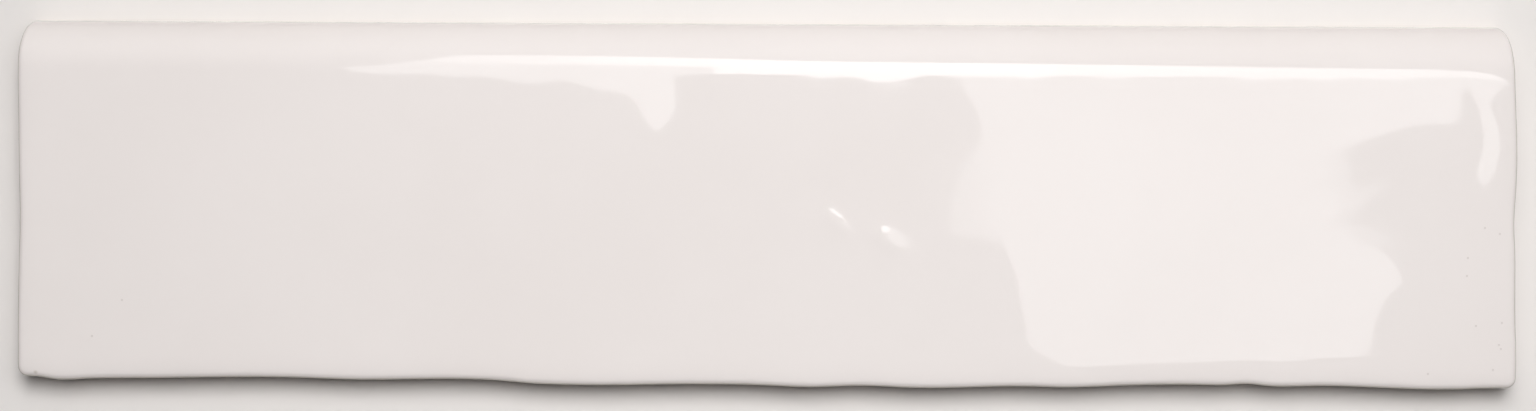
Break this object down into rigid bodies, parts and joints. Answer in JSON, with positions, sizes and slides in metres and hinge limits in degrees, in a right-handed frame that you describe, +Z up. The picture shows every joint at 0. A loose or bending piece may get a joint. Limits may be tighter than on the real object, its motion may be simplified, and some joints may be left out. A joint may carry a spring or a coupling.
{
  "type": "bullnose tile",
  "caption": "Long glossy off-white ceramic wall tile with one long edge rolled over in a quarter-round bullnose, hand-formed wavy front edge and keyed back.",
  "frame": {"origin": "on the plane of the back, under the middle of the tile", "axes": "+X along the tile, +Y across it towards the bullnose, +Z up out of the glazed face"},
  "size_m": [0.3, 0.0732, 0.0111],
  "materials": {
    "glaze": "glossy off-white glaze over a pale fired body, bare on the back"
  },
  "bodies": {
    "root": {"tile": "glaze"}
  },
  "joints": []
}
